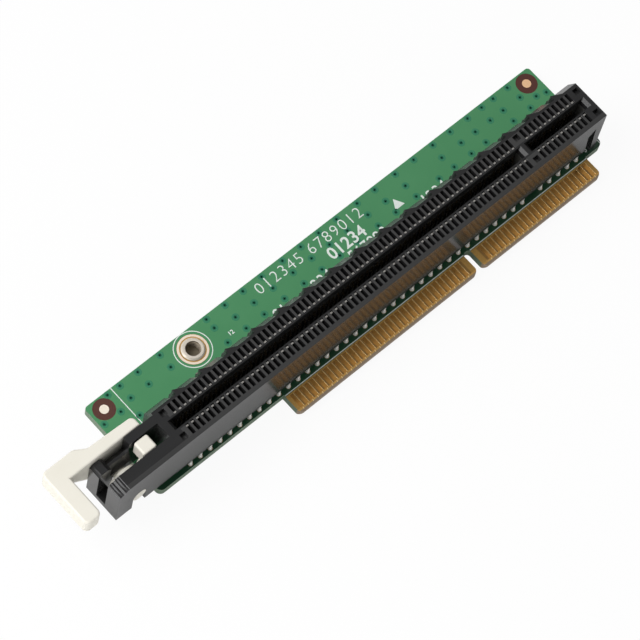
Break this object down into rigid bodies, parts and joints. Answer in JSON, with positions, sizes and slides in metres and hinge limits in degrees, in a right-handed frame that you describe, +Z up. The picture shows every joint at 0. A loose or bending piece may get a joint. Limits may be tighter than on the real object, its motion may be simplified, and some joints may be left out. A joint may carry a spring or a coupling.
{
  "type": "pcie riser card",
  "caption": "Riser card with a long vertical card connector, gold edge fingers, a threaded nut and a pivoting card latch.",
  "frame": {"origin": "middle of the card slot's width, at the middle of its key, on the board's component face", "axes": "+X along the connector towards its short contact group, +Y across the board away from the edge fingers, +Z up out of the component face"},
  "size_m": [0.1092, 0.0214, 0.0138],
  "materials": {
    "laminate": "satin amber glass laminate",
    "solder_mask": "satin green coat",
    "gold_plating": "plated",
    "black_moulding": "satin moulded",
    "tinned_contact": "bright",
    "solder": "bright solder",
    "ivory_moulding": "satin moulded",
    "nut_metal": "tin plated",
    "bare_copper": "flat copper",
    "coated_via": "green coat over copper",
    "white_ink": "printed ink"
  },
  "bodies": {
    "card": {"board": "laminate", "solder_mask_front": "solder_mask", "solder_mask_back": "solder_mask", "edge_pads_front": "gold_plating", "edge_pads_back": "gold_plating", "connector_housing": "black_moulding", "contacts_front_outer": "tinned_contact", "contacts_front_inner": "tinned_contact", "contacts_back_outer": "tinned_contact", "contacts_back_inner": "tinned_contact", "lead_fillets": "solder", "solder_joints": "solder", "threaded_nut": "nut_metal", "nut_pad_front": "bare_copper", "nut_pad_back": "bare_copper", "fiducial_left": "bare_copper", "fiducial_right": "bare_copper", "plated_vias": "coated_via", "print_line_left": "white_ink", "print_line_right": "white_ink", "print_divider": "white_ink", "print_corner_tick": "white_ink", "print_nut_ring": "white_ink", "print_triangle": "white_ink"},
    "latch": {"latch_lever": "ivory_moulding"}
  },
  "joints": [
    {"name": "latch_pivot", "type": "hinge", "parent": "card", "child": "latch", "pos_m": [-0.08225, 0, 0.00495], "axis": [0, -1, 0], "range_deg": [0, 16]}
  ]
}
